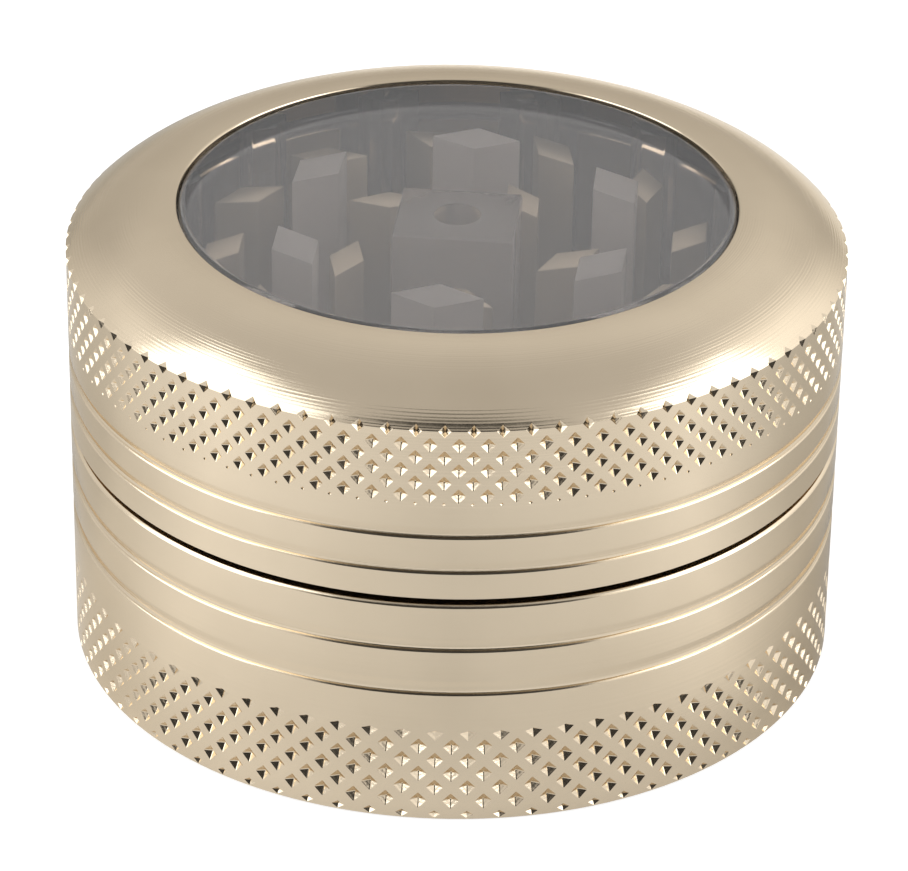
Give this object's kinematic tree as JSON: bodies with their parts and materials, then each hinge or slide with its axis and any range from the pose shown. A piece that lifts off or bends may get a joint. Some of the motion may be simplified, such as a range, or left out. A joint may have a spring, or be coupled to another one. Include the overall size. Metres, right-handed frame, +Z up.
{
  "type": "hand grinder",
  "caption": "Round two-piece hand grinder: knurled aluminium cup and lid ring with a clear toothed window; the lid turns on the cup's neck and lifts off.",
  "frame": {"origin": "centre of the flat bottom face", "axes": "+Z up along the turning axis, out through the window"},
  "size_m": [0.056, 0.056, 0.0343],
  "materials": {
    "anodised_aluminium": "satin champagne anodised, turned, with rolled knurl bands",
    "tooth_aluminium": "milled, satin champagne anodised",
    "pin_steel": "ground",
    "nylon": "black nylon",
    "clear_plastic": "clear moulded polycarbonate, polished"
  },
  "bodies": {
    "base": {"base_cup": "anodised_aluminium", "pivot_pin": "pin_steel", "cup_inner_tooth_1": "tooth_aluminium", "cup_inner_tooth_2": "tooth_aluminium", "cup_inner_tooth_3": "tooth_aluminium", "cup_inner_tooth_4": "tooth_aluminium", "cup_inner_tooth_5": "tooth_aluminium", "cup_outer_tooth_1": "tooth_aluminium", "cup_outer_tooth_2": "tooth_aluminium", "cup_outer_tooth_3": "tooth_aluminium", "cup_outer_tooth_4": "tooth_aluminium", "cup_outer_tooth_5": "tooth_aluminium", "cup_outer_tooth_6": "tooth_aluminium", "cup_outer_tooth_7": "tooth_aluminium", "cup_outer_tooth_8": "tooth_aluminium", "cup_outer_tooth_9": "tooth_aluminium", "cup_outer_tooth_10": "tooth_aluminium", "cup_outer_tooth_11": "tooth_aluminium", "cup_outer_tooth_12": "tooth_aluminium"},
    "ring": {"friction_ring": "nylon"},
    "lid": {"lid_ring": "anodised_aluminium", "clear_window": "clear_plastic"}
  },
  "joints": [
    {"name": "lid_lift", "type": "slide", "parent": "base", "child": "ring", "axis": [0, 0, 1], "range_m": [0, 0.026]},
    {"name": "lid_turn", "type": "hinge", "parent": "ring", "child": "lid", "pos_m": [0, 0, 0.0286], "axis": [0, 0, 1], "continuous": true}
  ]
}
